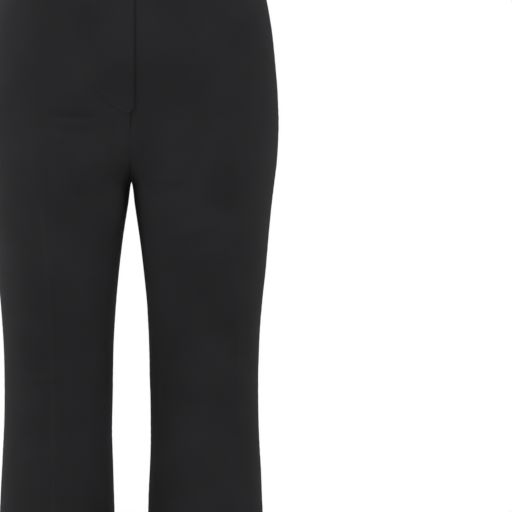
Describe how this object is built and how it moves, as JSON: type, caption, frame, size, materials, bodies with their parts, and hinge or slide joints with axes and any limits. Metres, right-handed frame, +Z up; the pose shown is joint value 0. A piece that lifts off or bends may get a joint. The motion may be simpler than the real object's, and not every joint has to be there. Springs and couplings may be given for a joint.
{
  "type": "casual trousers",
  "caption": "Plain dark tailored trousers with lapped zip fly, buttoned waistband and pressed creases, hollow as worn, legs straight to a slight flare.",
  "frame": {"origin": "centre of the waist, level with the waistband's top edge", "axes": "+Z up, -Y is the front of the garment, +X is the wearer's left"},
  "size_m": [0.3722, 0.2464, 1.0771],
  "materials": {
    "suiting": "smooth near-black suiting, soft matt with a faint sheen",
    "zip_tape": "woven black tape with a black coil chain",
    "slider_metal": "dark plated metal",
    "button": "near-black satin resin"
  },
  "bodies": {
    "root": {"front_right": "suiting", "front_left": "suiting", "back_right": "suiting", "back_left": "suiting", "waistband_right": "suiting", "waistband_left": "suiting", "fly_shield": "suiting", "zip_tape": "zip_tape", "zip_slider": "slider_metal", "button": "button"}
  },
  "joints": []
}
